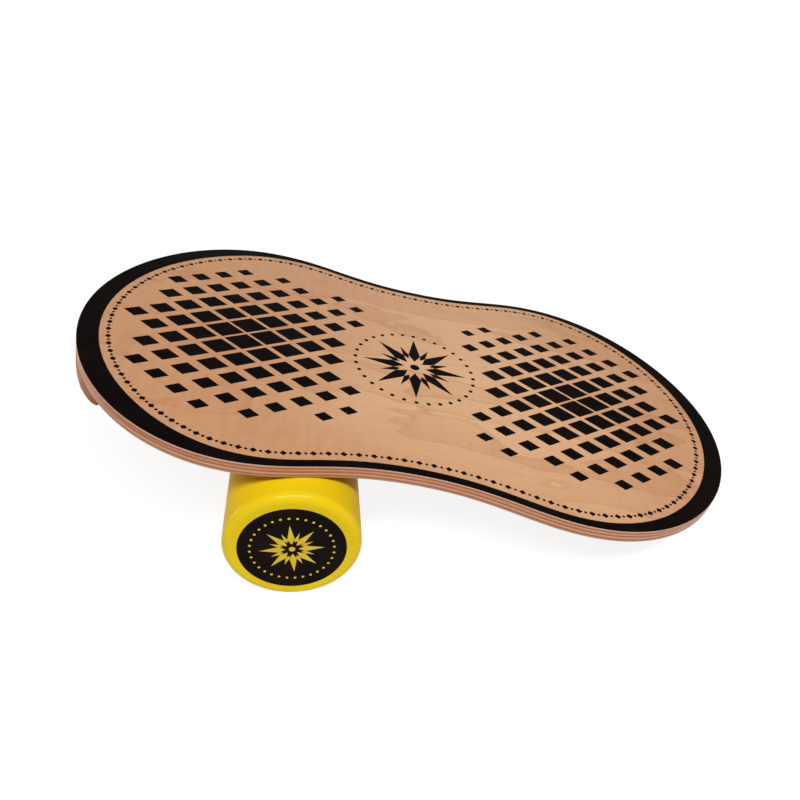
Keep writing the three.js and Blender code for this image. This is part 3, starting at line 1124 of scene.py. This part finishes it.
def makeShell():
    end = roller["length"] / 2
    flat = roller["flat"]
    rimEnd = end - roller["rim"]
    rimCentre = roller["radius"] - roller["rim"]
    insideRim = roller["rim"] - roller["wall"]
    insideEnd = end - roller["wall"]
    bossEnd = insideEnd - roller["bossHeight"]
    seat = end - roller["pocketDepth"]
    outside = rimArc(rimCentre, -rimEnd, roller["rim"], -math.pi / 2)
    outside += [(roller["radius"], flat - rimEnd), (roller["radius"], rimEnd - flat)]
    outside += rimArc(rimCentre, rimEnd, roller["rim"], 0)
    inside = rimArc(rimCentre, -rimEnd, insideRim, -math.pi / 2)
    inside += rimArc(rimCentre, rimEnd, insideRim, 0)
    profile = [(0, -end), (rimCentre - flat, -end), *outside, (rimCentre - flat, end)]
    profile += [(roller["pocket"], end), (roller["pocket"], seat), (roller["bore"], seat)]
    profile += [(roller["bore"], bossEnd), (roller["boss"], bossEnd), (roller["boss"], insideEnd)]
    profile += [*reversed(inside), (0, -insideEnd)]
    mesh = turnProfile(profile, roller["sides"])
    for face in mesh.faces:
        if all(vertex.co.to_2d().length > roller["rubbed"] * mm for vertex in face.verts):
            face.material_index = 1
    finishPiece("rollerShell", mesh, [glossyYellow, rubbedYellow], rearPlace,
                "roller", ["roller_shell"])


def makeLabels():
    tree, inputs = startTree("labelPrint", labelStar)
    endPrintTree(tree, inputs["Geometry"], addStar(tree, inputs), blackVinyl, yellowVinyl)
    loop = circleLoop(roller["labelRadius"], roller["sides"])
    base = roller["length"] / 2
    top = base + roller["labelThickness"]
    edge = roller["labelEdge"]
    profile = [(0, base), (0, top - edge), (edge, top)]
    materials = [blackVinyl, yellowVinyl]
    for name, place in (("front", frontPlace), ("rear", rearPlace)):
        mesh = makePlate(loop, profile, openTop=True)
        holder = holdLoop(name + "LabelBorder", insetLoop(loop, edge))
        addPrintedFace(mesh, runTree(tree, holder, labelStar), top, materials)
        finishPiece(name + "Label", mesh, materials, place,
                    "roller", ["roller_label_" + name])


makeShell()
makeLabels()
for node, material in (("vent_plug", plugPlastic), ("vent_plug_seal", sealRubber)):
    for materialSlot in frame["nodes"][node].material_slots:
        materialSlot.material = material
print("roller made")


# Floor, light and camera, in metres

stage = {
    "floorHalf": 3.0,
    "floorGrey": 0.68,
    "shadowShare": 0.19,  # of the floor's camera colour that still answers to the light
    "floorGlow": (0.88, 1.02),  # close to the object, and away from it
    "glowReach": (0.6, 1.6),
    "worldLevel": 0.06,
}


def seenDirectly(tree):
    # 1 for rays from the camera and for those mirrored or let through on the way
    path = addNode(tree, "ShaderNodeLightPath").outputs
    first = addNode(tree, "ShaderNodeMath", [path["Is Camera Ray"], path["Is Glossy Ray"]],
                    operation="MAXIMUM")
    return addNode(tree, "ShaderNodeMath", [first, path["Is Transmission Ray"]],
                   operation="MAXIMUM")


def makeFloor():
    # A matt painted floor, white to the camera, that still takes a faint shadow
    material = bpy.data.materials.new("paintedFloor")
    tree = clearTree(material)
    bounce, shown = [addNode(tree, "ShaderNodeBsdfDiffuse", {"Color": (grey, grey, grey, 1)})
                     for grey in (stage["floorGrey"], stage["shadowShare"])]
    place = addNode(tree, "ShaderNodeTexCoord").outputs["Object"]
    away = addNode(tree, "ShaderNodeVectorMath", [place], operation="LENGTH")
    glow = addNode(tree, "ShaderNodeMapRange", [
        away, *stage["glowReach"], *stage["floorGlow"]], **smooth)
    white = addNode(tree, "ShaderNodeEmission", {"Color": (1, 1, 1, 1), "Strength": glow})
    both = addNode(tree, "ShaderNodeAddShader", [shown, white])
    mixed = addNode(tree, "ShaderNodeMixShader", [seenDirectly(tree), bounce, both])
    addNode(tree, "ShaderNodeOutputMaterial", [mixed])
    half = stage["floorHalf"]
    corners = [(-half, -half, 0), (half, -half, 0), (half, half, 0), (-half, half, 0)]
    floor = addMeshObject("floor", corners, faces=[(0, 1, 2, 3)])
    floor.data.materials.append(material)


def makeWorld():
    world = bpy.data.worlds.new("studio")
    tree = clearTree(world)
    level = addNode(tree, "ShaderNodeMapRange", [
        seenDirectly(tree), 0.0, 1.0, stage["worldLevel"], 1.0])
    background = addNode(tree, "ShaderNodeBackground", {"Color": (1, 1, 1, 1), "Strength": level})
    addNode(tree, "ShaderNodeOutputWorld", [background])
    bpy.context.scene.world = world


# A long soft box above the front edge gives shadows with a clear edge. Weak low ones fill the back
# and the ends, those at the ends a little warm, as light is that comes off wood
softBoxes = {
    "frontBox": {"place": (0.25, -1.85, 3.06), "aim": (-0.1, -0.2, 0.1), "size": (3.2, 0.45),
                 "power": 147, "tint": "#ffffff"},
    "backBox": {"place": (0.0, 2.4, 0.25), "aim": (0.0, 0.0, 0.1), "size": (2.4, 0.4),
                "power": 18, "tint": "#ffffff"},
    "leftBox": {"place": (-2.2, 0.8, 0.2), "aim": (0.0, 0.0, 0.1), "size": (1.6, 0.36),
                "power": 11, "tint": "#ffcc94"},
    "rightBox": {"place": (2.3, 0.1, 0.2), "aim": (0.0, 0.0, 0.1), "size": (1.6, 0.36),
                 "power": 7, "tint": "#ffdab0"},
}


def makeSoftBoxes():
    for name, box in softBoxes.items():
        data = bpy.data.lights.new(name, "AREA")
        data.shape = "RECTANGLE"
        data.size, data.size_y = box["size"]
        data.energy = box["power"]
        data.color = linear(box["tint"])[:3]
        light = addObject(name, data)
        light.location = box["place"]
        towards = Vector(box["aim"]) - Vector(box["place"])
        light.rotation_euler = towards.to_track_quat("-Z", "Y").to_euler()


view = {
    "place": (-0.09112, -0.76712, 0.63778),
    "forward": (0.06639, 0.81694, -0.57289),
    "right": (0.99677, -0.08025, 0.00108),
    "focalPixels": 761.38,
    "imagePixels": 800,
    "centre": (388.09, 384.0),  # where the lens looks, in the photograph's pixels
    "sensor": 36,
    "clipStart": 0.01,
}


def makeCamera():
    data = bpy.data.cameras.new("camera")
    data.sensor_width = view["sensor"]
    data.lens = view["focalPixels"] / view["imagePixels"] * view["sensor"]
    data.shift_x = 0.5 - view["centre"][0] / view["imagePixels"]
    data.shift_y = view["centre"][1] / view["imagePixels"] - 0.5
    data.clip_start = view["clipStart"]
    camera = addObject("camera", data)
    forward = Vector(view["forward"]).normalized()
    right = Vector(view["right"]).normalized()
    turn = Matrix((right, right.cross(forward), -forward)).transposed().to_4x4()
    camera.matrix_world = Matrix.Translation(view["place"]) @ turn
    bpy.context.scene.camera = camera


makeFloor()
makeWorld()
makeSoftBoxes()
makeCamera()
bpy.context.scene.view_settings.view_transform = "Standard"
print("studio made")
